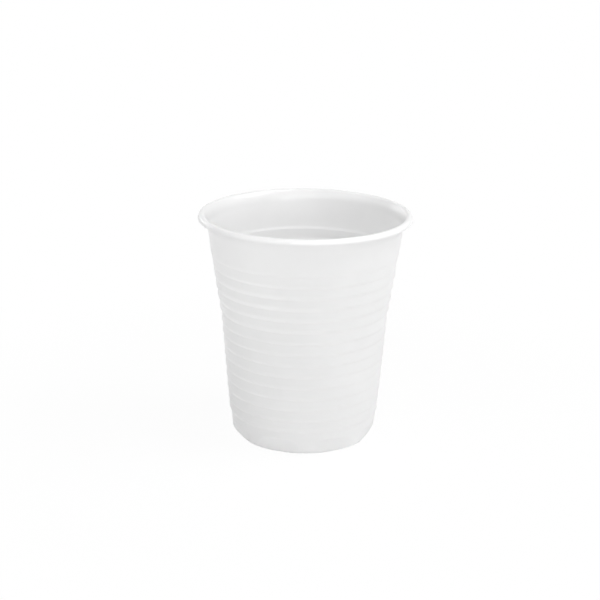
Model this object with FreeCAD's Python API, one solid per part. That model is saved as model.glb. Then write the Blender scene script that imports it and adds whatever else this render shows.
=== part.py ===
"""Disposable drinking cup, formed from one thin white plastic sheet.

The cup is one piece. A single section is drawn from the rolled rim down to the middle of
the base, along the middle of the sheet, and turned about the axis. The heel then gets a
ring of leaning flats, pressed into the sheet, which read as low arches round the foot.
All sizes are in millimetres. The origin is the centre of the foot ring's underside, +Z up.
"""
import FreeCAD, Part

import math
import os

# Rim
RIM_DIAMETER = 70.3        # over the rolled edge
HEIGHT = 75.8              # foot ring to the top of the rolled edge
CURL_RADIUS = 1.25         # outside radius of the rolled edge
CURL_SWEEP = 165.0         # how far the sheet is rolled over and down, degrees
RIM_OVERHANG = 3.05        # rolled edge beyond the wall, at the foot of the flare
FLARE_DEPTH = 3.2          # top of the rolled edge to the foot of the flare

# Sheet
SHEET = 0.22               # thickness of the formed plastic

# Wall
DRINKING_BAND = 10.4       # height of the plain wall above the top crease
DRINKING_LEAN = 7.0        # lean of the plain wall from the vertical, degrees
DRINKING_INSET = 1.55      # how far the wall comes in over the plain wall
RIB_PITCH = 3.87           # height of one rib, as near as whole ribs allow
TOP_RIB_LEAN = 4.5         # lean of the top rib's own wall, degrees
RIB_LEAN = -0.5            # lean of the other ribs' own walls, nearly upright, degrees
STEP_LEAN = 26.0           # slope of the step under each rib, degrees
SHOULDER_RADIUS = 2.0      # round lower edge of a rib, at the middle of the sheet
CREASE_RADIUS = 0.6        # hollow under that edge, at the middle of the sheet
UPPER_INSET = 0.61         # step in per rib above the knee
LOWER_INSET = 0.31         # step in per rib below the knee
LOWEST_INSET = 0.55        # step in under the lowest rib
KNEE_HEIGHT = 41.5         # above this the wall opens out faster

# Foot
FOOT_HEIGHT = 8.0          # foot ring to the lowest crease
FOOT_LEAN = 5.0            # lean of the plain foot wall, degrees
HEEL_RADIUS = 2.85         # outside radius where the wall turns under
FOOT_RING_WIDTH = 0.8      # flat ring that touches the table
BASE_RISE = 1.8            # base panel above the foot ring
BASE_SLOPE = 55.0          # slope of the step up to the base panel, degrees
BASE_ROUND = 0.9           # rounds of that step, at the middle of the sheet

# Arches round the heel
ARCH_COUNT = 8
ARCH_HEIGHT = 5.0          # foot ring to the springing of the arch's head
ARCH_STEP = 0.55           # depth of the flat below the wall, at that height
ARCH_TILT = 19.0           # the flat leans in towards the foot, degrees from the vertical
ARCH_HEAD_SLOPE = 45.0     # slope of the head, degrees from the horizontal

HALF = SHEET / 2
OUTSIDE = 1
INSIDE = -1


def direction(angle):
    """Unit vector in the section plane, at an angle in degrees from the outward direction."""
    return FreeCAD.Vector(math.cos(math.radians(angle)), 0, math.sin(math.radians(angle)))


def fall_heading(lean):
    """Heading of a line that goes down and comes in by the given lean."""
    return -90.0 - lean


class Section:
    """The middle line of the sheet, drawn as tangent lines and arcs."""

    def __init__(self, start, heading):
        self.point = start
        self.heading = heading
        self.pieces = []

    def line(self, length):
        """Go straight on."""
        end = self.point + direction(self.heading) * length
        self.pieces.append(("line", self.point, end, self.heading))
        self.point = end

    def bend(self, turn, radius):
        """Turn left by an angle in degrees, or right where it is negative."""
        quarter = math.copysign(90, turn)
        centre = self.point + direction(self.heading + quarter) * radius
        self.pieces.append(("arc", centre, radius, self.heading - quarter, turn))
        self.heading += turn
        self.point = centre + direction(self.heading - quarter) * radius

    def edges(self, side, first=0):
        """Edges of one face of the sheet, from the piece with the given number on."""
        found = []
        for kind, *values in self.pieces[first:]:
            if kind == "line":
                start, end, heading = values
                shift = direction(heading + 90) * (side * HALF)
                found.append(straight(start + shift, end + shift))
            else:
                centre, radius, spoke, turn = values
                reach = radius - side * math.copysign(HALF, turn)
                points = [centre + direction(spoke + turn * share) * reach
                          for share in (0.0, 0.5, 1.0)]
                found.append(Part.Arc(*points).toShape())
        return found


def straight(start, end):
    """A straight edge between two points."""
    return Part.LineSegment(start, end).toShape()


def start_of(edge):
    """First point of an edge."""
    return edge.valueAt(edge.FirstParameter)


def end_of(edge):
    """Last point of an edge."""
    return edge.valueAt(edge.LastParameter)


def turned(edges):
    """Solid that a closed loop of edges makes when it turns about the axis."""
    wire = Part.Wire(Part.sortEdges(edges)[0])
    return Part.Face(wire).revolve(FreeCAD.Vector(), FreeCAD.Vector(0, 0, 1), 360)


def add_rim(section):
    """The rolled edge and the flare, which joins it to the plain wall.

    The flare is the arc that leaves the plain wall along its lean and touches the roll.
    """
    roll = CURL_RADIUS - HALF
    curl_centre = FreeCAD.Vector(RIM_DIAMETER / 2 - CURL_RADIUS, 0, HEIGHT - CURL_RADIUS)
    wall_heading = fall_heading(DRINKING_LEAN)
    outward = direction(wall_heading + 90)
    wall_top = FreeCAD.Vector(RIM_DIAMETER / 2 - RIM_OVERHANG, 0, HEIGHT - FLARE_DEPTH)
    wall_top -= outward * HALF
    gap = curl_centre - wall_top
    flare = (gap.dot(gap) - roll ** 2) / (2 * (gap.dot(outward) - roll))
    spoke = curl_centre - (wall_top + outward * flare)
    join_heading = math.degrees(math.atan2(spoke.z, spoke.x)) + 90 - 360
    section.heading = join_heading - CURL_SWEEP
    section.point = curl_centre + direction(section.heading - 90) * roll
    section.bend(CURL_SWEEP, roll)
    section.bend(wall_heading - join_heading, flare)


def add_rib(section, lean, next_lean, drop, inset):
    """One rib, from its upper crease to its lower one: straight, shoulder, step, crease.

    The two straight lengths are worked out so that the rib drops and comes in as asked.
    """
    sin_rib, cos_rib = math.sin(math.radians(lean)), math.cos(math.radians(lean))
    sin_step, cos_step = math.sin(math.radians(STEP_LEAN)), math.cos(math.radians(STEP_LEAN))
    sin_next, cos_next = math.sin(math.radians(next_lean)), math.cos(math.radians(next_lean))
    inward = inset - SHOULDER_RADIUS * (cos_rib - cos_step)
    inward -= CREASE_RADIUS * (cos_next - cos_step)
    down = drop - SHOULDER_RADIUS * (sin_step - sin_rib)
    down -= CREASE_RADIUS * (sin_step - sin_next)
    share = sin_step * cos_rib - cos_step * sin_rib
    section.line((down * sin_step - inward * cos_step) / share)
    section.bend(lean - STEP_LEAN, SHOULDER_RADIUS)
    section.line((inward * cos_rib - down * sin_rib) / share)
    section.bend(STEP_LEAN - next_lean, CREASE_RADIUS)


def add_wall(section):
    """The plain drinking band and the ribs under it, down to the lowest crease."""
    add_rib(section, DRINKING_LEAN, TOP_RIB_LEAN, DRINKING_BAND, DRINKING_INSET)
    top_crease = HEIGHT - FLARE_DEPTH - DRINKING_BAND
    rib_count = max(2, round((top_crease - FOOT_HEIGHT) / RIB_PITCH))
    pitch = (top_crease - FOOT_HEIGHT) / rib_count
    for rib in range(1, rib_count):
        above_knee = top_crease - pitch * rib > KNEE_HEIGHT
        inset = UPPER_INSET if above_knee else LOWER_INSET
        lean = TOP_RIB_LEAN if rib == 1 else RIB_LEAN
        add_rib(section, lean, RIB_LEAN, pitch, inset)
    add_rib(section, RIB_LEAN, FOOT_LEAN, pitch, LOWEST_INSET)


def add_foot(section):
    """The plain foot wall, the heel, the foot ring and the base panel."""
    heel = HEEL_RADIUS - HALF
    lean = math.radians(FOOT_LEAN)
    section.line((section.point.z - HALF - heel * (1 - math.sin(lean))) / math.cos(lean))
    section.bend(FOOT_LEAN - 90, heel)
    section.line(FOOT_RING_WIDTH)
    slope = math.radians(BASE_SLOPE)
    section.bend(-BASE_SLOPE, BASE_ROUND)
    section.line((BASE_RISE - 2 * BASE_ROUND * (1 - math.cos(slope))) / math.sin(slope))
    section.bend(BASE_SLOPE, BASE_ROUND)
    section.line(section.point.x)


def arch_wedges(wall_radius, growth):
    """Wedges that press the flats in, each with its back and head moved in by growth."""
    tilt = math.radians(ARCH_TILT)
    head = math.radians(ARCH_HEAD_SLOPE)
    spread = growth / math.cos(tilt + head)
    corner = FreeCAD.Vector(wall_radius - ARCH_STEP, 0, ARCH_HEIGHT)
    corner += FreeCAD.Vector(math.sin(tilt) - math.cos(head), 0,
                             math.cos(tilt) - math.sin(head)) * spread
    drop = corner.z + ARCH_HEIGHT
    foot = corner - FreeCAD.Vector(math.tan(tilt), 0, 1) * drop
    crown = corner + FreeCAD.Vector(1, 0, math.tan(head)) * wall_radius
    outer = FreeCAD.Vector(crown.x, 0, foot.z)
    face = Part.Face(Part.makePolygon([corner, crown, outer, foot, corner]))
    face.translate(FreeCAD.Vector(0, -wall_radius, 0))
    wedge = face.extrude(FreeCAD.Vector(0, 2 * wall_radius, 0))
    wedges = []
    for arch in range(ARCH_COUNT):
        turned_wedge = wedge.copy()
        turned_wedge.rotate(FreeCAD.Vector(), FreeCAD.Vector(0, 0, 1),
                            360 / ARCH_COUNT * (arch + 0.5))
        wedges.append(turned_wedge)
    return wedges


def make_cup():
    """The whole cup as one solid."""
    section = Section(FreeCAD.Vector(), 0)
    add_rim(section)
    rim_pieces = len(section.pieces)
    add_wall(section)
    lowest_crease = section.point
    add_foot(section)

    outside = section.edges(OUTSIDE)
    inside = section.edges(INSIDE)
    mouth = start_of(inside[rim_pieces])
    mouth_centre = FreeCAD.Vector(0, 0, mouth.z)
    lid = straight(mouth_centre, mouth)
    sheet_end = straight(start_of(outside[0]), start_of(inside[0]))
    full_axis = straight(end_of(outside[-1]), mouth_centre)
    hollow_axis = straight(end_of(inside[-1]), mouth_centre)
    filled = turned(outside + [full_axis, lid] + inside[:rim_pieces] + [sheet_end])
    hollow = turned(inside[rim_pieces:] + [hollow_axis, lid])

    lean = math.radians(FOOT_LEAN)
    wall_radius = lowest_crease.x + HALF / math.cos(lean)
    wall_radius -= (lowest_crease.z - ARCH_HEIGHT) * math.tan(lean)
    pressed = filled.cut(arch_wedges(wall_radius, 0))
    pressed_hollow = hollow.cut(arch_wedges(wall_radius, SHEET))
    return pressed.cut(pressed_hollow)


os.makedirs("parts", exist_ok=True)
cup = make_cup()
solid = cup.Solids[0]
print("cup:", len(cup.Solids), "solid, valid", solid.isValid())
print("volume %.1f mm3, box %s" % (solid.Volume, solid.BoundBox))
solid.exportStep("parts/cup.step")
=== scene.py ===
"""Looks of a disposable drinking cup, formed from one thin white plastic sheet.

The sheet is drawn as one section, from the rolled rim down to the middle of the base, and a
Geometry Nodes tree turns it about the cup's axis and presses the arches into the heel.
The cup's own sizes are in millimetres and become metres as its mesh is made. The finishes,
the lamps and the camera are in metres.
"""

import logging
import math
from dataclasses import dataclass, field
from enum import Enum

import bpy
from mathutils import Euler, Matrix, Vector


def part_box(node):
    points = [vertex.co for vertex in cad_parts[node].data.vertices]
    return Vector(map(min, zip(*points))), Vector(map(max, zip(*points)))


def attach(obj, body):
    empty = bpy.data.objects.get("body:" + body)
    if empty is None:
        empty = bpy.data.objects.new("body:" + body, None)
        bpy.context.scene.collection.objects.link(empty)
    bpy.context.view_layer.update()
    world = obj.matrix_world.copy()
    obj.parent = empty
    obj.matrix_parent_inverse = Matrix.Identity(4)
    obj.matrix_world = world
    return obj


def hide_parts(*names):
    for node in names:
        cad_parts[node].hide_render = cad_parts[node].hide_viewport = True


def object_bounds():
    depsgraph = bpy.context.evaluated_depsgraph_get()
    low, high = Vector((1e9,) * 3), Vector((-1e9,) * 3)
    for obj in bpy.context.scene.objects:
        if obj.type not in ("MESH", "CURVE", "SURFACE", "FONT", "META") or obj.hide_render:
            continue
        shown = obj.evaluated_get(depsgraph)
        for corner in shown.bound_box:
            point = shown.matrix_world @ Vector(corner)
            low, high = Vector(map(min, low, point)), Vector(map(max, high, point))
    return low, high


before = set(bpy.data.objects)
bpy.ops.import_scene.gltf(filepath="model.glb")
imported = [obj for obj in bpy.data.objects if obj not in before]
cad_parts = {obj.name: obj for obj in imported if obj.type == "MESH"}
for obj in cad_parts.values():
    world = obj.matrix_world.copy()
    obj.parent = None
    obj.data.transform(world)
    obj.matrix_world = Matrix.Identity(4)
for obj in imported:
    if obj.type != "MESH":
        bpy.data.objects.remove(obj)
cad_low, cad_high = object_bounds()

MM = 0.001
CUP_NODE = "cup"
CUP_BODY = "root"
CUP_SLOT = "cup_plastic"

log = logging.getLogger("cup")


class Face(Enum):
    """The two faces of the sheet, each with the sign of its offset from the sheet's middle."""

    OUTER = 1
    INNER = -1


def direction(angle: float) -> Vector:
    """Unit vector in the section plane.

    Args:
        angle: degrees from the outward direction, turning towards up.

    Returns:
        The vector, as outward and up.
    """
    return Vector((math.cos(math.radians(angle)), math.sin(math.radians(angle))))


def falling(lean: float) -> float:
    """Heading of a line that goes down and comes in by the given lean, in degrees."""
    return -90.0 - lean


@dataclass
class Section:
    """The middle line of the sheet, drawn as tangent lines and arcs.

    Attributes:
        point: where the line has come to, as radius and height.
        heading: which way it goes on from there, in degrees.
        finest: the most that one straight piece of an arc turns, in degrees.
        stops: each place on the line so far, with its heading.
    """

    point: Vector
    heading: float
    finest: float = 11.0
    stops: list[tuple[Vector, float]] = field(default_factory=list)

    def mark(self) -> None:
        """Keeps the present place as a stop."""
        self.stops.append((self.point.copy(), self.heading))

    def line(self, length: float, parts: int = 1) -> None:
        """Goes straight on.

        Args:
            length: how far.
            parts: how many equal pieces to leave on the way.
        """
        for _ in range(parts):
            self.point = self.point + direction(self.heading) * (length / parts)
            self.mark()

    def bend(self, turn: float, radius: float) -> None:
        """Goes round an arc.

        Args:
            turn: degrees to the left, or to the right where it is negative.
            radius: the arc's radius.
        """
        quarter = math.copysign(90, turn)
        centre = self.point + direction(self.heading + quarter) * radius
        parts = math.ceil(abs(turn) / self.finest)
        for _ in range(parts):
            self.heading += turn / parts
            self.point = centre + direction(self.heading - quarter) * radius
            self.mark()

    def face(self, side: Face, half: float) -> list[Vector]:
        """Points of one face of the sheet, in the order of the stops.

        Args:
            side: which face.
            half: half the sheet's thickness.

        Returns:
            One point for each stop.
        """
        return [point + direction(heading + 90) * (side.value * half)
                for point, heading in self.stops]


@dataclass
class Rim:
    """The rolled edge and the flare that joins it to the wall.

    Attributes:
        curl_radius: outside radius of the rolled edge.
        curl_sweep: how far the sheet is rolled over and down, in degrees.
        overhang: how far the rolled edge stands out beyond the wall, at the flare's foot.
        flare_depth: top of the rolled edge to the foot of the flare.
    """

    curl_radius: float = 1.25
    curl_sweep: float = 165.0
    overhang: float = 3.05
    flare_depth: float = 3.2

    def draw(self, outer: float, top: float, half: float, lean: float) -> Section:
        """Starts a section at the sheet's free edge and brings it to the top of the wall.

        Args:
            outer: radius over the rolled edge.
            top: height of the rolled edge.
            half: half the sheet's thickness.
            lean: lean of the wall that the flare runs into, in degrees.

        Returns:
            The section so far.
        """
        roll = self.curl_radius - half
        centre = Vector((outer - self.curl_radius, top - self.curl_radius))
        outward = direction(falling(lean) + 90)
        wall_top = Vector((outer - self.overhang, top - self.flare_depth)) - outward * half
        gap = centre - wall_top
        flare = (gap.dot(gap) - roll ** 2) / (2 * (gap.dot(outward) - roll))
        spoke = centre - (wall_top + outward * flare)
        joint = math.degrees(math.atan2(spoke.y, spoke.x)) + 90 - 360
        heading = joint - self.curl_sweep
        section = Section(centre + direction(heading - 90) * roll, heading)
        section.mark()
        section.bend(self.curl_sweep, roll)
        section.bend(falling(lean) - joint, flare)
        return section


@dataclass
class Wall:
    """The plain drinking band and the ribs below it, each with a crease under it.

    Attributes:
        band: height of the plain wall above the top crease.
        band_lean: its lean from the vertical, in degrees.
        band_inset: how far the wall comes in from the top of the band to that crease.
        band_parts: pieces that its straight is left in.
        rib_pitch: height of one rib, as near as whole ribs allow.
        top_lean: lean of the top rib's own wall, in degrees.
        rib_lean: lean of the other ribs' own walls, in degrees.
        step_lean: slope of the step under each rib, in degrees.
        shoulder: radius of a rib's lower edge, at the middle of the sheet.
        crease: radius of the hollow under that edge, at the middle of the sheet.
        upper_inset: step in per rib above the knee.
        lower_inset: step in per rib below the knee.
        lowest_inset: step in under the lowest rib.
        knee_height: above this the wall opens out faster.
    """

    band: float = 10.4
    band_lean: float = 7.0
    band_inset: float = 1.55
    band_parts: int = 6
    rib_pitch: float = 3.87
    top_lean: float = 4.5
    rib_lean: float = -0.5
    step_lean: float = 26.0
    shoulder: float = 2.0
    crease: float = 0.6
    upper_inset: float = 0.61
    lower_inset: float = 0.31
    lowest_inset: float = 0.55
    knee_height: float = 41.5

    def rib(self, section: Section, lean: float, next_lean: float, drop: float,
            inset: float, parts: int = 1) -> None:
        """Draws one rib from its upper crease to its lower one.

        Args:
            section: the section so far.
            lean: lean of the rib's own straight.
            next_lean: lean of what follows its lower crease.
            drop: how far it goes down.
            inset: how far it comes in.
            parts: pieces that its straight is left in.
        """
        lean_x, lean_y = math.sin(math.radians(lean)), math.cos(math.radians(lean))
        slope = math.radians(self.step_lean)
        step_x, step_y = math.sin(slope), math.cos(slope)
        next_x, next_y = math.sin(math.radians(next_lean)), math.cos(math.radians(next_lean))
        inward = inset - self.shoulder * (lean_y - step_y) - self.crease * (next_y - step_y)
        down = drop - self.shoulder * (step_x - lean_x) - self.crease * (step_x - next_x)
        share = step_x * lean_y - step_y * lean_x
        section.line((down * step_x - inward * step_y) / share, parts)
        section.bend(lean - self.step_lean, self.shoulder)
        section.line((inward * lean_y - down * lean_x) / share)
        section.bend(self.step_lean - next_lean, self.crease)

    def draw(self, section: Section, foot_height: float, foot_lean: float) -> None:
        """Carries the section from the foot of the flare to the lowest crease.

        Args:
            section: the section so far.
            foot_height: height of the lowest crease.
            foot_lean: lean of the plain wall below that crease.
        """
        top_crease = section.point.y - self.band
        self.rib(section, self.band_lean, self.top_lean, self.band, self.band_inset,
                 self.band_parts)
        count = max(2, round((top_crease - foot_height) / self.rib_pitch))
        pitch = (top_crease - foot_height) / count
        for number in range(1, count):
            above_knee = top_crease - pitch * number > self.knee_height
            inset = self.upper_inset if above_knee else self.lower_inset
            lean = self.top_lean if number == 1 else self.rib_lean
            self.rib(section, lean, self.rib_lean, pitch, inset)
        self.rib(section, self.rib_lean, foot_lean, pitch, self.lowest_inset)


@dataclass
class Foot:
    """The plain foot wall, the heel, the foot ring and the base panel.

    Attributes:
        height: foot ring to the lowest crease.
        lean: lean of the plain foot wall, in degrees.
        wall_parts: pieces that its straight is left in.
        heel: outside radius where the wall turns under.
        ring_width: width of the flat ring that touches the table.
        base_rise: base panel above the foot ring.
        base_slope: slope of the step up to the base panel, in degrees.
        base_round: rounds of that step, at the middle of the sheet.
        panel_parts: pieces that the base panel is left in.
    """

    height: float = 8.0
    lean: float = 5.0
    wall_parts: int = 20
    heel: float = 2.85
    ring_width: float = 0.8
    base_rise: float = 1.8
    base_slope: float = 55.0
    base_round: float = 0.9
    panel_parts: int = 8

    def draw(self, section: Section, half: float) -> None:
        """Carries the section from the lowest crease to the middle of the base.

        Args:
            section: the section so far.
            half: half the sheet's thickness.
        """
        heel = self.heel - half
        lean = math.radians(self.lean)
        drop = section.point.y - half - heel * (1 - math.sin(lean))
        section.line(drop / math.cos(lean), self.wall_parts)
        section.bend(self.lean - 90, heel)
        section.line(self.ring_width)
        slope = math.radians(self.base_slope)
        section.bend(-self.base_slope, self.base_round)
        rise = self.base_rise - 2 * self.base_round * (1 - math.cos(slope))
        section.line(rise / math.sin(slope))
        section.bend(self.base_slope, self.base_round)
        section.line(section.point.x, self.panel_parts)


@dataclass
class Arches:
    """The ring of low arches: leaning flats pressed into the heel.

    Attributes:
        count: how many there are.
        height: foot ring to the springing of an arch's head.
        step: depth of the flat below the wall, at that height.
        tilt: how far the flat leans in towards the foot, in degrees from the vertical.
        head_slope: slope of the head, in degrees from the horizontal.
        edge_blend: softness of the edge between a flat and the wall.
        head_blend: softness of the edge between a flat and its head.
    """

    count: int = 8
    height: float = 5.0
    step: float = 0.55
    tilt: float = 19.0
    head_slope: float = 45.0
    edge_blend: float = 0.3
    head_blend: float = 0.12


@dataclass
class Handling:
    """How far a light cup strays from true: a soft unevenness of its wall.

    Attributes:
        depth: the most that the wall strays in.
        spread: about how many waves there are in a metre.
        seed: which pattern of waves it is.
        still_radius: inside this distance from the axis nothing strays.
        loose_radius: outside this distance the wall strays in full.
        detail: how many finer layers the waves have.
    """

    depth: float = 0.12
    spread: float = 45.0
    seed: float = 3.7
    still_radius: float = 15.0
    loose_radius: float = 21.0
    detail: float = 1.0


@dataclass
class NodeTree:
    """Short ways to add and join the nodes of one tree.

    Attributes:
        tree: the tree that the nodes go in.
        placed: how many nodes it has been given, which spreads them out.
        across: how many nodes stand side by side before the next line of them.
        spacing: how far apart they stand, to the right and up.
    """

    tree: bpy.types.NodeTree
    placed: int = 0
    across: int = 12
    spacing: tuple[int, int] = (200, -300)

    def join(self, socket: bpy.types.NodeSocket, value: object) -> None:
        """Joins an output to a socket, or sets the socket to a plain value.

        Args:
            socket: the socket.
            value: another node's output, or the plain value.
        """
        if isinstance(value, bpy.types.NodeSocket):
            self.tree.links.new(value, socket)
        else:
            socket.default_value = value

    def add(self, kind: str, inputs: dict[str | int, object] | None = None,
            **settings: object) -> bpy.types.Node:
        """Adds a node.

        Args:
            kind: Blender's name for the node.
            inputs: its sockets by name or number, each a plain value or another node's output.
            settings: its properties, by name.

        Returns:
            The new node.
        """
        node = self.tree.nodes.new(kind)
        line, place = divmod(self.placed, self.across)
        node.location = (self.spacing[0] * place, self.spacing[1] * line)
        self.placed += 1
        for name, value in settings.items():
            setattr(node, name, value)
        for key, value in (inputs or {}).items():
            self.join(node.inputs[key], value)
        return node

    def maths(self, operation: str, *values: object) -> bpy.types.NodeSocket:
        """Works on numbers with a Math node.

        Args:
            operation: Blender's name for the operation.
            values: numbers or outputs, in the order of the node's sockets.

        Returns:
            The node's output.
        """
        node = self.add("ShaderNodeMath", dict(enumerate(values)), operation=operation)
        return node.outputs[0]

    def noise(self, place: bpy.types.NodeSocket, scale: float,
              detail: float) -> bpy.types.NodeSocket:
        """Adds a noise pattern.

        Args:
            place: where it is read.
            scale: about how many of its spots there are in a metre.
            detail: how many finer layers it has.

        Returns:
            The node's output, from 0 to 1.
        """
        inputs = {"Vector": place, "Scale": scale, "Detail": detail}
        return self.add("ShaderNodeTexNoise", inputs).outputs[0]

    def remap(self, value: object, low: float, high: float, to_low: float,
              to_high: float) -> bpy.types.NodeSocket:
        """Turns one range of numbers into another, with a soft start and end.

        Args:
            value: the output to turn.
            low: start of its range.
            high: end of its range.
            to_low: what the start becomes.
            to_high: what the end becomes.

        Returns:
            The node's output.
        """
        inputs = {0: value, 1: low, 2: high, 3: to_low, 4: to_high}
        return self.add("ShaderNodeMapRange", inputs, interpolation_type="SMOOTHSTEP").outputs[0]


@dataclass(frozen=True)
class CupPlastic:
    """The white plastic: soft gloss, a little light through it, the faint marks of forming.

    Attributes:
        slot: the name of a material slot; not used.
        white: its colour.
        thin_white: the greyer white of its clouds.
        clouds: about how many of those clouds there are in a metre.
        cloud_range: where in that pattern the change starts and ends.
        cloud_detail: how many finer layers it has.
        glow: share of the light that scatters inside the sheet.
        glow_depth: how far it scatters, in metres.
        glow_shares: how far red, green and blue scatter, as shares of that.
        refraction: the plastic's index of refraction.
        gloss: strength of its reflections.
        smooth: roughness where it is smoothest.
        dull: roughness where it is dullest.
        patches: about how many patches of one or the other there are in a metre.
        patch_range: where in that pattern the change starts and ends.
        patch_detail: how many finer layers it has.
        polish: strength of the rim's polish.
        polish_rough: roughness of that polish.
        polish_zone: how far below the rim's top it starts and is full, in metres.
        waves: about how many slow waves there are in a metre.
        wave_strength: strength of their bump.
        wave_depth: depth of that bump, in metres.
        pits: about how many pits of the fine peel there are in a metre.
        pit_strength: strength of their bump.
        pit_depth: depth of that bump, in metres.
        skin_detail: how many finer layers the waves and the pits have.
    """

    slot: str = CUP_SLOT
    white: tuple[float, float, float] = (0.86, 0.86, 0.86)
    thin_white: tuple[float, float, float] = (0.845, 0.845, 0.845)
    clouds: float = 55.0
    cloud_range: tuple[float, float] = (0.35, 0.7)
    cloud_detail: float = 3.0
    glow: float = 0.8
    glow_depth: float = 1.0 * MM
    glow_shares: tuple[float, float, float] = (1.0, 1.0, 1.0)
    refraction: float = 1.55
    gloss: float = 0.3
    smooth: float = 0.3
    dull: float = 0.4
    patches: float = 120.0
    patch_range: tuple[float, float] = (0.3, 0.7)
    patch_detail: float = 4.0
    polish: float = 0.4
    polish_rough: float = 0.13
    polish_zone: tuple[float, float] = (5.3 * MM, 3.3 * MM)
    waves: float = 160.0
    wave_strength: float = 0.35
    wave_depth: float = 0.06 * MM
    pits: float = 900.0
    pit_strength: float = 0.3
    pit_depth: float = 0.008 * MM
    skin_detail: float = 2.0

    def make(self) -> bpy.types.Material:
        """Builds the material.

        Returns:
            The new material.
        """
        material = bpy.data.materials.new("formed_white_plastic")
        material.use_nodes = True
        material.node_tree.nodes.clear()
        nodes = NodeTree(material.node_tree)
        place = nodes.add("ShaderNodeTexCoord").outputs["Object"]
        shader = nodes.add("ShaderNodeBsdfPrincipled", {
            "Subsurface Weight": self.glow,
            "Subsurface Radius": self.glow_shares,
            "Subsurface Scale": self.glow_depth,
            "IOR": self.refraction,
            "Specular IOR Level": self.gloss,
            "Coat Roughness": self.polish_rough,
        })
        nodes.join(shader.inputs["Base Color"], self.colour(nodes, place))
        nodes.join(shader.inputs["Roughness"], self.sheen(nodes, place))
        nodes.join(shader.inputs["Coat Weight"], self.rolled(nodes, place))
        nodes.join(shader.inputs["Normal"], self.skin(nodes, place))
        output = nodes.add("ShaderNodeOutputMaterial")
        nodes.join(output.inputs["Surface"], shader.outputs[0])
        return material

    def colour(self, nodes: NodeTree, place: bpy.types.NodeSocket) -> bpy.types.NodeSocket:
        """White that greys a little in soft clouds, as a drawn sheet does where it is thinner.

        Args:
            nodes: the material's tree.
            place: the place on the cup.

        Returns:
            The colour.
        """
        clouds = nodes.noise(place, self.clouds, self.cloud_detail)
        share = nodes.remap(clouds, *self.cloud_range, 0.0, 1.0)
        # A Mix node's colours are its sockets 6 and 7, and its output 2.
        mix = nodes.add("ShaderNodeMix", {
            0: share, 6: (*self.white, 1.0), 7: (*self.thin_white, 1.0)}, data_type="RGBA")
        return mix.outputs[2]

    def sheen(self, nodes: NodeTree, place: bpy.types.NodeSocket) -> bpy.types.NodeSocket:
        """Roughness that changes in soft patches, from handling and from the mould."""
        patches = nodes.noise(place, self.patches, self.patch_detail)
        return nodes.remap(patches, *self.patch_range, self.smooth, self.dull)

    def rolled(self, nodes: NodeTree, place: bpy.types.NodeSocket) -> bpy.types.NodeSocket:
        """Polish that only the rim has, from the hot tool that rolls it.

        Args:
            nodes: the material's tree.
            place: the place on the cup.

        Returns:
            The polish's strength.
        """
        height = nodes.add("ShaderNodeSeparateXYZ", {0: place}).outputs["Z"]
        start, full = (cad_high.z - depth for depth in self.polish_zone)
        return nodes.remap(height, start, full, 0.0, self.polish)

    def skin(self, nodes: NodeTree, place: bpy.types.NodeSocket) -> bpy.types.NodeSocket:
        """Fine peel on the surface, over the slow waves that forming leaves in a thin sheet.

        Args:
            nodes: the material's tree.
            place: the place on the cup.

        Returns:
            The surface's direction.
        """
        waves = nodes.noise(place, self.waves, self.skin_detail)
        pits = nodes.noise(place, self.pits, self.skin_detail)
        slow = nodes.add("ShaderNodeBump", {
            "Strength": self.wave_strength, "Distance": self.wave_depth, "Height": waves})
        fine = nodes.add("ShaderNodeBump", {
            "Strength": self.pit_strength, "Distance": self.pit_depth, "Height": pits,
            "Normal": slow.outputs[0]})
        return fine.outputs[0]


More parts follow.
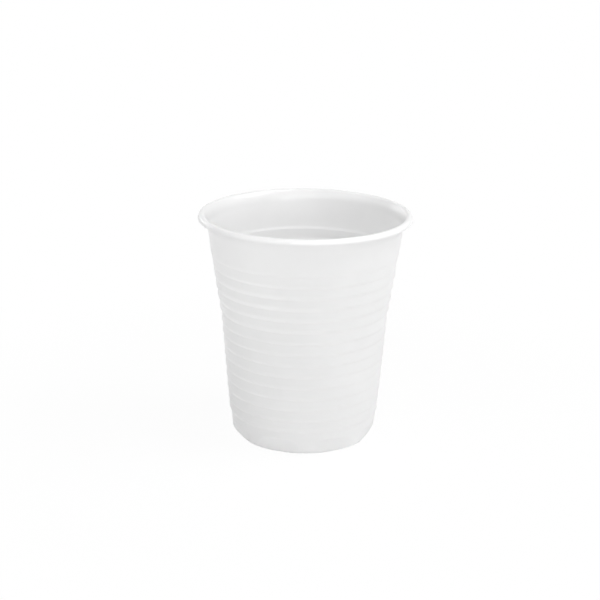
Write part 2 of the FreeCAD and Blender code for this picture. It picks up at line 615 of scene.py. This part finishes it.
@dataclass
class CupSheet:
    """The formed sheet: rim, wall, foot and arches, as one closed mesh.

    Attributes:
        rim: the rolled edge and its flare.
        wall: the drinking band and the ribs.
        foot: the foot wall, heel, foot ring and base.
        arches: the flats pressed into the heel.
        handling: the wall's unevenness.
        plastic: what it is made of.
        columns: how many faces go round the cup.
        sheet: thickness of the plastic.
        weld: points nearer than this become one, in metres.
        sharp_edge: an edge that turns by more than this stays sharp, in degrees.
    """

    rim: Rim = field(default_factory=Rim)
    wall: Wall = field(default_factory=Wall)
    foot: Foot = field(default_factory=Foot)
    arches: Arches = field(default_factory=Arches)
    handling: Handling = field(default_factory=Handling)
    plastic: CupPlastic = field(default_factory=CupPlastic)
    columns: int = 240
    sheet: float = 0.22
    weld: float = 0.0005 * MM
    sharp_edge: float = 50.0

    def outline(self) -> tuple[list[Vector], list[Vector], float]:
        """Draws the section over the whole height of the CAD cup.

        Returns:
            Points round both faces of the sheet, from the axis under the base to the axis on
            it; the sheet's middle at each point; and the wall's outer radius where the arches
            spring.
        """
        low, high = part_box(CUP_NODE)
        outer = (high.x - low.x) / 2 / MM
        top = high.z / MM
        half = self.sheet / 2
        section = self.rim.draw(outer, top, half, self.wall.band_lean)
        self.wall.draw(section, self.foot.height, self.foot.lean)
        lean = math.radians(self.foot.lean)
        wall_radius = section.point.x + half / math.cos(lean)
        wall_radius -= (section.point.y - self.arches.height) * math.tan(lean)
        self.foot.draw(section, half)
        middle = [point for point, _ in section.stops]
        faces = section.face(Face.OUTER, half)[::-1] + section.face(Face.INNER, half)
        return faces, middle[::-1] + middle, wall_radius

    def section_mesh(self, faces: list[Vector], middle: list[Vector]) -> bpy.types.Mesh:
        """Makes the outline a chain of edges, each point with its place on the sheet's middle.

        Args:
            faces: points of the outline.
            middle: the sheet's middle at each point.

        Returns:
            The mesh.
        """
        mesh = bpy.data.meshes.new("section")
        points = [(point.x * MM, 0, point.y * MM) for point in faces]
        edges = [(number, number + 1) for number in range(len(points) - 1)]
        mesh.from_pydata(points, edges, [])
        kept = mesh.attributes.new("middle", "FLOAT_VECTOR", "POINT")
        for item, point in zip(kept.data, middle):
            item.vector = (point.x * MM, 0, point.y * MM)
        return mesh

    def tree(self) -> bpy.types.NodeTree:
        """Builds the tree that turns the section about the axis and presses the arches in.

        Returns:
            The Geometry Nodes tree, with a named input for each size.
        """
        tree = bpy.data.node_groups.new("formed_sheet", "GeometryNodeTree")
        sockets = tree.interface
        sockets.new_socket("Cup", in_out="OUTPUT", socket_type="NodeSocketGeometry")
        sockets.new_socket("Section", in_out="INPUT", socket_type="NodeSocketGeometry")
        for name in ("Columns", "Arches"):
            sockets.new_socket(name, in_out="INPUT", socket_type="NodeSocketInt")
        for name in ("Wall Radius", "Springing", "Step", "Tilt", "Head Slope", "Edge Blend",
                     "Head Blend", "Unevenness", "Spread", "Seed"):
            sockets.new_socket(name, in_out="INPUT", socket_type="NodeSocketFloat")
        sockets.new_socket("Plastic", in_out="INPUT", socket_type="NodeSocketMaterial")
        nodes = NodeTree(tree)
        given = nodes.add("NodeGroupInput").outputs

        size = nodes.add("GeometryNodeAttributeDomainSize", {0: given["Section"]})
        rows = size.outputs["Point Count"]
        lines = nodes.maths("ADD", given["Columns"], 1)
        grid = nodes.add("GeometryNodeMeshGrid", {"Vertices X": lines, "Vertices Y": rows})
        index = nodes.add("GeometryNodeInputIndex").outputs[0]
        row = nodes.maths("FLOORED_MODULO", index, rows)
        column = nodes.maths("FLOOR", nodes.maths("DIVIDE", index, rows))
        turn = nodes.maths("DIVIDE", nodes.maths("MULTIPLY", column, math.tau), given["Columns"])
        surface = self.sampled(nodes, given["Section"], row,
                               nodes.add("GeometryNodeInputPosition").outputs[0])
        middle = self.sampled(nodes, given["Section"], row, nodes.add(
            "GeometryNodeInputNamedAttribute", {"Name": "middle"},
            data_type="FLOAT_VECTOR").outputs[0])

        pressed = self.pressed(nodes, given, turn, middle)
        radius = nodes.maths("ADD", surface.outputs["X"], pressed)
        radius = nodes.maths("SUBTRACT", radius, self.uneven(nodes, given, turn, middle))
        place = nodes.add("ShaderNodeCombineXYZ", {
            "X": nodes.maths("MULTIPLY", radius, nodes.maths("COSINE", turn)),
            "Y": nodes.maths("MULTIPLY", radius, nodes.maths("SINE", turn)),
            "Z": surface.outputs["Z"]})
        moved = nodes.add("GeometryNodeSetPosition",
                          {"Geometry": grid.outputs["Mesh"], "Position": place.outputs[0]})
        welded = nodes.add("GeometryNodeMergeByDistance",
                           {"Geometry": moved.outputs[0], "Distance": self.weld})
        smooth = nodes.add("GeometryNodeSetShadeSmooth", {"Geometry": welded.outputs[0]})
        angle = nodes.add("GeometryNodeInputMeshEdgeAngle").outputs["Unsigned Angle"]
        sharp = nodes.maths("GREATER_THAN", angle, math.radians(self.sharp_edge))
        edges = nodes.add("GeometryNodeSetShadeSmooth", {
            "Geometry": smooth.outputs[0], "Selection": sharp, "Shade Smooth": False},
            domain="EDGE")
        real = nodes.add("GeometryNodeRealizeInstances", {"Geometry": edges.outputs[0]})
        dressed = nodes.add("GeometryNodeSetMaterial",
                            {"Geometry": real.outputs[0], "Material": given["Plastic"]})
        nodes.add("NodeGroupOutput", {0: dressed.outputs[0]})
        return tree

    def sampled(self, nodes: NodeTree, section: bpy.types.NodeSocket, row: bpy.types.NodeSocket,
                value: bpy.types.NodeSocket) -> bpy.types.Node:
        """Reads a vector off the section's point that a row of the sheet comes from.

        Args:
            nodes: the tree.
            section: the section.
            row: number of the point.
            value: what to read there.

        Returns:
            The Separate XYZ node that splits the vector.
        """
        sample = nodes.add("GeometryNodeSampleIndex",
                           {"Geometry": section, "Index": row}, data_type="FLOAT_VECTOR")
        nodes.join(sample.inputs["Value"], value)
        return nodes.add("ShaderNodeSeparateXYZ", {0: sample.outputs[0]})

    def pressed(self, nodes: NodeTree, given: bpy.types.NodeOutputs, turn: bpy.types.NodeSocket,
                middle: bpy.types.Node) -> bpy.types.NodeSocket:
        """How far the arches push the sheet out: a number that is below 0 inside an arch.

        Args:
            nodes: the tree.
            given: the tree's inputs.
            turn: angle round the cup.
            middle: the sheet's middle, split.

        Returns:
            The change of radius.
        """
        pitch = nodes.maths("DIVIDE", math.tau, given["Arches"])
        off = nodes.maths("SUBTRACT", nodes.maths("FLOORED_MODULO", turn, pitch),
                          nodes.maths("DIVIDE", pitch, 2.0))
        corner = nodes.maths("SUBTRACT", given["Wall Radius"], given["Step"])
        below = nodes.maths("SUBTRACT", given["Springing"], middle.outputs["Z"])
        flat = nodes.maths("SUBTRACT", corner, nodes.maths(
            "MULTIPLY", below, nodes.maths("TANGENT", given["Tilt"])))
        head = nodes.maths("SUBTRACT", corner, nodes.maths(
            "DIVIDE", below, nodes.maths("TANGENT", given["Head Slope"])))
        wedge = nodes.maths("SMOOTH_MAX", flat, head, given["Head Blend"])
        wedge = nodes.maths("DIVIDE", wedge, nodes.maths("COSINE", off))
        kept = nodes.maths("SMOOTH_MIN", middle.outputs["X"], wedge, given["Edge Blend"])
        return nodes.maths("SUBTRACT", kept, middle.outputs["X"])

    def uneven(self, nodes: NodeTree, given: bpy.types.NodeOutputs, turn: bpy.types.NodeSocket,
               middle: bpy.types.Node) -> bpy.types.NodeSocket:
        """How far the wall strays in from true, in slow waves that fade out under the base.

        Args:
            nodes: the tree.
            given: the tree's inputs.
            turn: angle round the cup.
            middle: the sheet's middle, split.

        Returns:
            The change of radius, inwards.
        """
        spot = nodes.add("ShaderNodeCombineXYZ", {
            "X": nodes.maths("MULTIPLY", middle.outputs["X"], nodes.maths("COSINE", turn)),
            "Y": nodes.maths("MULTIPLY", middle.outputs["X"], nodes.maths("SINE", turn)),
            "Z": middle.outputs["Z"]})
        noise = nodes.add("ShaderNodeTexNoise", {
            "Vector": spot.outputs[0], "W": given["Seed"], "Scale": given["Spread"],
            "Detail": self.handling.detail}, noise_dimensions="4D")
        share = nodes.remap(middle.outputs["X"], self.handling.still_radius * MM,
                            self.handling.loose_radius * MM, 0.0, 1.0)
        depth = nodes.maths("MULTIPLY", given["Unevenness"], share)
        return nodes.maths("MULTIPLY", depth, noise.outputs[0])

    def build(self) -> None:
        """Makes the cup as one plain mesh, dressed and joined to the frame."""
        faces, middle, wall_radius = self.outline()
        maker = bpy.data.objects.new("cup_maker", self.section_mesh(faces, middle))
        bpy.context.scene.collection.objects.link(maker)
        tree = self.tree()
        modifier = maker.modifiers.new("formed_sheet", "NODES")
        modifier.node_group = tree
        sizes = {
            "Columns": self.columns,
            "Arches": self.arches.count,
            "Wall Radius": (wall_radius - self.sheet / 2) * MM,
            "Springing": self.arches.height * MM,
            "Step": self.arches.step * MM,
            "Tilt": math.radians(self.arches.tilt),
            "Head Slope": math.radians(self.arches.head_slope),
            "Edge Blend": self.arches.edge_blend * MM,
            "Head Blend": self.arches.head_blend * MM,
            "Unevenness": self.handling.depth * MM,
            "Spread": self.handling.spread,
            "Seed": self.handling.seed,
            "Plastic": self.plastic.make(),
        }
        for item in tree.interface.items_tree:
            if item.item_type == "SOCKET" and item.name in sizes:
                modifier[item.identifier] = sizes[item.name]
        mesh = bpy.data.meshes.new_from_object(
            maker.evaluated_get(bpy.context.evaluated_depsgraph_get()))
        maker.modifiers.remove(modifier)
        bpy.data.objects.remove(maker)
        # The first slot is the section's and is empty; the tree's own material is the second.
        mesh.materials.pop(index=0)
        mesh.name = "cup_sheet"
        cup = bpy.data.objects.new("cup_sheet", mesh)
        bpy.context.scene.collection.objects.link(cup)
        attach(cup, CUP_BODY)
        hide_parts(CUP_NODE)
        log.info("%s: %d points, %d faces", cup.name, len(mesh.vertices), len(mesh.polygons))


@dataclass(frozen=True)
class Softbox:
    """A soft lamp that faces the middle of the cup.

    Attributes:
        name: what it is called.
        azimuth: where it stands, in degrees round the cup; 0 is in front, 90 to the right.
        elevation: degrees above the table.
        level: how bright it alone makes a white surface that faces it.
        size: its width and height, in metres.
        distance: how far it is from the cup, in metres.
    """

    name: str
    azimuth: float
    elevation: float
    level: float
    size: tuple[float, float] = (0.4, 0.4)
    distance: float = 0.8

    def place(self, aim: Vector) -> None:
        """Puts the lamp in the scene.

        Args:
            aim: what it faces.
        """
        lamp = bpy.data.lights.new(self.name, "AREA")
        lamp.shape = "RECTANGLE"
        lamp.size, lamp.size_y = self.size
        lamp.energy = self.level * (math.pi * self.distance) ** 2
        item = bpy.data.objects.new(self.name, lamp)
        back = around(self.azimuth, self.elevation)
        item.location = aim + back * self.distance
        item.rotation_mode = "QUATERNION"
        item.rotation_quaternion = (-back).to_track_quat("-Z", "Y")
        bpy.context.scene.collection.objects.link(item)


def around(azimuth: float, elevation: float) -> Vector:
    """Unit vector from the cup towards a stand.

    Args:
        azimuth: degrees; 0 is in front, 90 to the right.
        elevation: degrees above the table.

    Returns:
        The vector.
    """
    turn, rise = math.radians(azimuth), math.radians(elevation)
    level = math.cos(rise)
    return Vector((math.sin(turn) * level, -math.cos(turn) * level, math.sin(rise)))


@dataclass
class Studio:
    """A white table in a white room, with soft lamps.

    Attributes:
        lamps: the softboxes.
        room: how bright the room's own light makes a white surface.
        table_white: how white the table is.
        table_size: length of its sides.
        table_drop: how far it lies below the cup's foot.
        shadow_reach: how far from the cup's axis its shadow shows in full, and at all.
        backdrop_share: how much of the table is plain backdrop where the shadow shows in full.
        aim_height: height of the point that the lamps face.
    """

    lamps: tuple[Softbox, ...] = (
        Softbox("overhead", 65.0, 78.0, 0.158, (0.25, 0.25)),
        Softbox("key", 78.0, 47.0, 0.486, (0.5, 0.5)),
        Softbox("front", 8.0, 18.0, 0.242, (0.7, 0.25)),
        Softbox("front_left", 340.0, 24.0, 0.093, (0.5, 0.25)),
        Softbox("left", 293.0, 34.0, 0.169, (0.5, 0.4)),
        Softbox("back_left", 218.0, 15.0, 0.09, (0.5, 0.25)),
        Softbox("glint", 22.0, 7.5, 0.065, (0.14, 0.08)),
    )
    room: float = 0.27
    table_white: float = 0.95
    table_size: float = 6.0
    table_drop: float = 0.03 * MM
    shadow_reach: tuple[float, float] = (60 * MM, 180 * MM)
    backdrop_share: float = 0.95
    aim_height: float = 38 * MM

    def build(self) -> None:
        """Makes the table, the room's light and the lamps."""
        aim = Vector((0, 0, self.aim_height))
        for lamp in self.lamps:
            lamp.place(aim)
        self.light_room()
        self.lay_table()

    def shown(self, nodes: NodeTree) -> bpy.types.NodeSocket:
        """Marks what the camera, a reflection or a view through the plastic sees.

        Args:
            nodes: the tree.

        Returns:
            1 for what is seen, else 0.
        """
        path = nodes.add("ShaderNodeLightPath").outputs
        seen = nodes.maths("ADD", path["Is Camera Ray"], path["Is Glossy Ray"])
        return nodes.maths("MINIMUM", nodes.maths("ADD", seen, path["Is Transmission Ray"]), 1.0)

    def light_room(self) -> None:
        """A white room: plain white where it is seen, and a soft even light elsewhere."""
        world = bpy.data.worlds.new("room")
        world.use_nodes = True
        world.node_tree.nodes.clear()
        nodes = NodeTree(world.node_tree)
        strength = nodes.maths("ADD", self.room,
                               nodes.maths("MULTIPLY", self.shown(nodes), 1.0 - self.room))
        light = nodes.add("ShaderNodeBackground", {"Color": (1, 1, 1, 1), "Strength": strength})
        nodes.add("ShaderNodeOutputWorld", {"Surface": light.outputs[0]})
        bpy.context.scene.world = world

    def lay_table(self) -> None:
        """The table: white where it is seen, less the cup's own soft shadow."""
        half = self.table_size / 2
        corners = [(-half, -half), (half, -half), (half, half), (-half, half)]
        mesh = bpy.data.meshes.new("table")
        mesh.from_pydata([(x, y, -self.table_drop) for x, y in corners], [], [(0, 1, 2, 3)])
        material = bpy.data.materials.new("table_white")
        material.use_nodes = True
        material.node_tree.nodes.clear()
        nodes = NodeTree(material.node_tree)
        white = (self.table_white,) * 3 + (1.0,)
        matt = nodes.add("ShaderNodeBsdfDiffuse", {"Color": white})
        bright = nodes.add("ShaderNodeEmission", {"Color": (1, 1, 1, 1), "Strength": 1.0})
        place = nodes.add("ShaderNodeTexCoord").outputs["Object"]
        away = nodes.add("ShaderNodeVectorMath", {0: place}, operation="LENGTH")
        share = nodes.remap(away.outputs["Value"], *self.shadow_reach, self.backdrop_share, 1.0)
        share = nodes.maths("MULTIPLY", share, self.shown(nodes))
        mix = nodes.add("ShaderNodeMixShader", {0: share, 1: matt.outputs[0],
                                                2: bright.outputs[0]})
        nodes.add("ShaderNodeOutputMaterial", {"Surface": mix.outputs[0]})
        mesh.materials.append(material)
        table = bpy.data.objects.new("table", mesh)
        bpy.context.scene.collection.objects.link(table)


@dataclass
class Viewpoint:
    """Where the camera stands, in metres and degrees.

    Attributes:
        azimuth: degrees round the cup; 0 is in front, 90 to the right.
        elevation: degrees above the table.
        roll: how far the camera is turned about its own line of sight, in degrees.
        distance: how far it is from what it faces.
        aim_side: how far to the right of the axis it faces, as seen from the camera.
        aim_height: height of what it faces.
        sensor: width of its sensor, in millimetres.
        lens: its focal length, in millimetres.
        nearest: nothing closer than this is drawn.
        farthest: nothing farther than this is drawn.
    """

    azimuth: float = -2.5
    elevation: float = 17.526
    roll: float = 0.59
    distance: float = 0.5
    aim_side: float = -1.5 * MM
    aim_height: float = 45.82 * MM
    sensor: float = 36.0
    lens: float = 90.31
    nearest: float = 0.01
    farthest: float = 20.0

    def build(self) -> None:
        """Makes the camera and has the scene use it."""
        camera = bpy.data.cameras.new("camera")
        camera.sensor_width = self.sensor
        camera.lens = self.lens
        camera.clip_start = self.nearest
        camera.clip_end = self.farthest
        item = bpy.data.objects.new("camera", camera)
        turn = math.radians(self.azimuth)
        aim = Vector((math.cos(turn), math.sin(turn), 0)) * self.aim_side
        aim.z = self.aim_height
        back = around(self.azimuth, self.elevation)
        item.location = aim + back * self.distance
        item.rotation_mode = "QUATERNION"
        level = (-back).to_track_quat("-Z", "Y")
        item.rotation_quaternion = level @ Euler((0, 0, math.radians(self.roll))).to_quaternion()
        bpy.context.scene.collection.objects.link(item)
        bpy.context.scene.camera = item


def main() -> None:
    """Builds the cup, then the studio and the camera."""
    logging.basicConfig(level=logging.INFO, format="%(name)s: %(message)s")
    CupSheet().build()
    Studio().build()
    Viewpoint().build()
    bpy.context.scene.view_settings.view_transform = "Standard"


if __name__ == "__main__":
    main()
